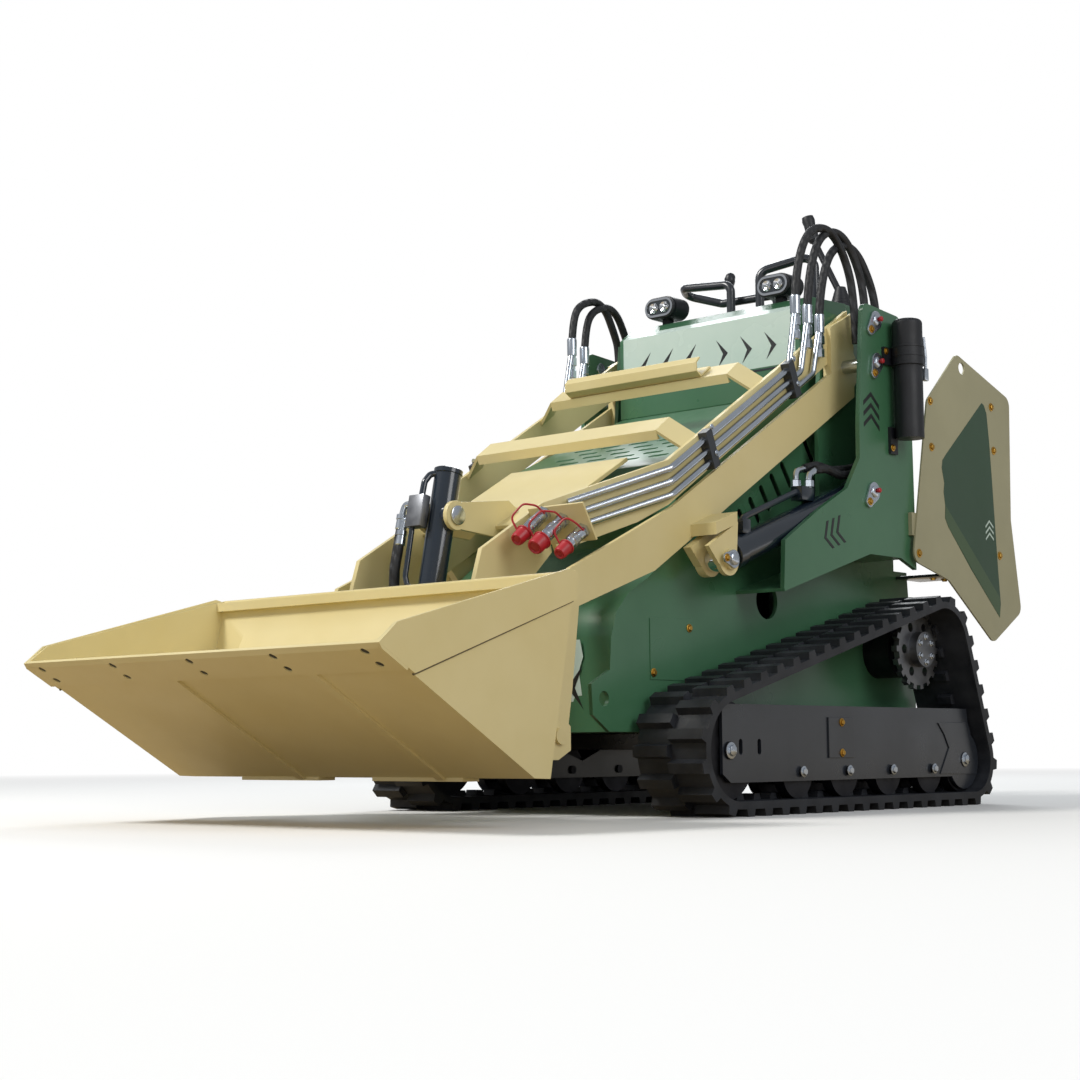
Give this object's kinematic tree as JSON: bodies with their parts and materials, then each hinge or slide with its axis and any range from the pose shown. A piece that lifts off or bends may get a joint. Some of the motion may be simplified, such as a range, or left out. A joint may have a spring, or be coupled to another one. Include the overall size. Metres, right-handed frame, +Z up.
{
  "type": "stand-on compact track loader",
  "caption": "Stand-on compact track loader: rubber tracks, low hood, lift arms with hydraulic cylinders and a wide bucket, rear fold-up platform.",
  "frame": {"origin": "on the ground under the middle of the overall box", "axes": "+Z up, -Y the way the machine drives and the bucket faces, +X the machine's left"},
  "size_m": [1.118, 2.5508, 1.6163],
  "materials": {
    "sand_paint": "satin",
    "green_paint": "satin",
    "guard_paint": "satin",
    "black_paint": "satin",
    "cylinder_paint": "gloss",
    "track_rubber": "matte",
    "hose_rubber": "matte",
    "plated_steel": "satin",
    "rod_chrome": "gloss",
    "bare_iron": "matte",
    "black_plastic": "matte"
  },
  "bodies": {
    "machine": {"track_left": "track_rubber", "track_right": "track_rubber", "track_frame_left": "black_paint", "track_frame_right": "black_paint", "track_rollers_left": "bare_iron", "track_rollers_right": "bare_iron", "drive_sprocket_left": "bare_iron", "drive_sprocket_right": "bare_iron", "drive_motor_left": "bare_iron", "drive_motor_right": "bare_iron", "tower_left": "green_paint", "tower_right": "green_paint", "tower_pins": "plated_steel", "rear_guards": "guard_paint", "work_lights": "black_plastic", "handlebars": "black_paint", "control_levers": "black_plastic", "lift_hoses": "hose_rubber", "undercarriage": "black_paint", "main_frame": "green_paint", "hood_front": "green_paint", "engine_cover": "green_paint", "rear_body": "green_paint", "console": "green_paint", "engine_block": "bare_iron", "document_canister": "black_plastic"},
    "loader_arms": {"loader_arm_left": "sand_paint", "loader_arm_right": "sand_paint", "cross_members": "sand_paint", "arm_tubes": "plated_steel", "tube_clamps": "black_paint", "quick_couplers": "plated_steel", "lower_cross_plate": "sand_paint", "safety_strut": "sand_paint", "coupler_bracket": "sand_paint"},
    "bucket": {"bucket_shell": "sand_paint", "cutting_edge": "sand_paint", "hitch_plate": "sand_paint"},
    "step": {"step_platform": "black_paint"},
    "tilt_cylinder_barrel": {"tilt_barrel": "cylinder_paint"},
    "tilt_cylinder_rod": {"tilt_rod": "rod_chrome"},
    "lift_cylinder_barrel_left": {"lift_barrel_left": "cylinder_paint"},
    "lift_cylinder_rod_left": {"lift_rod_left": "rod_chrome"},
    "lift_cylinder_barrel_right": {"lift_barrel_right": "cylinder_paint"},
    "lift_cylinder_rod_right": {"lift_rod_right": "rod_chrome"}
  },
  "joints": [
    {"name": "arm_lift", "type": "hinge", "parent": "machine", "child": "loader_arms", "pos_m": [0, 0.565, 1.137], "axis": [-1, 0, 0], "range_deg": [0, 66], "deforming": ["lift_hoses"]},
    {"name": "bucket_tilt", "type": "hinge", "parent": "loader_arms", "child": "bucket", "pos_m": [0, -0.597, 0.18], "axis": [1, 0, 0], "range_deg": [0, 70]},
    {"name": "step_fold", "type": "hinge", "parent": "machine", "child": "step", "pos_m": [0, 0.885, 0.314], "axis": [1, 0, 0], "range_deg": [0, 85]},
    {"name": "lift_barrel_swing_left", "type": "hinge", "parent": "machine", "child": "lift_cylinder_barrel_left", "pos_m": [0.415, 0.534, 0.798], "axis": [-1, 0, 0], "range_deg": [-1, 66]},
    {"name": "lift_rod_slide_left", "type": "slide", "parent": "lift_cylinder_barrel_left", "child": "lift_cylinder_rod_left", "axis": [0, -0.942, -0.3356], "range_m": [-0.002, 0.376]},
    {"name": "lift_barrel_swing_right", "type": "hinge", "parent": "machine", "child": "lift_cylinder_barrel_right", "pos_m": [-0.415, 0.534, 0.798], "axis": [-1, 0, 0], "range_deg": [-1, 66]},
    {"name": "lift_rod_slide_right", "type": "slide", "parent": "lift_cylinder_barrel_right", "child": "lift_cylinder_rod_right", "axis": [0, -0.942, -0.3356], "range_m": [-0.002, 0.376]},
    {"name": "tilt_barrel_swing", "type": "hinge", "parent": "loader_arms", "child": "tilt_cylinder_barrel", "pos_m": [0, -0.552, 0.68], "axis": [1, 0, 0], "range_deg": [-14, 1]},
    {"name": "tilt_rod_slide", "type": "slide", "parent": "tilt_cylinder_barrel", "child": "tilt_cylinder_rod", "axis": [0, -0.2042, -0.9789], "range_m": [-0.002, 0.148]}
  ],
  "couplings": [
    {"joint": "lift_barrel_swing_left", "follows": "arm_lift", "ratio": 0.9859},
    {"joint": "lift_rod_slide_left", "follows": "arm_lift", "m_per_rad": 0.3231},
    {"joint": "lift_barrel_swing_right", "follows": "arm_lift", "ratio": 0.9859},
    {"joint": "lift_rod_slide_right", "follows": "arm_lift", "m_per_rad": 0.3231},
    {"joint": "tilt_barrel_swing", "follows": "bucket_tilt", "ratio": -0.1866},
    {"joint": "tilt_rod_slide", "follows": "bucket_tilt", "m_per_rad": 0.1181}
  ]
}
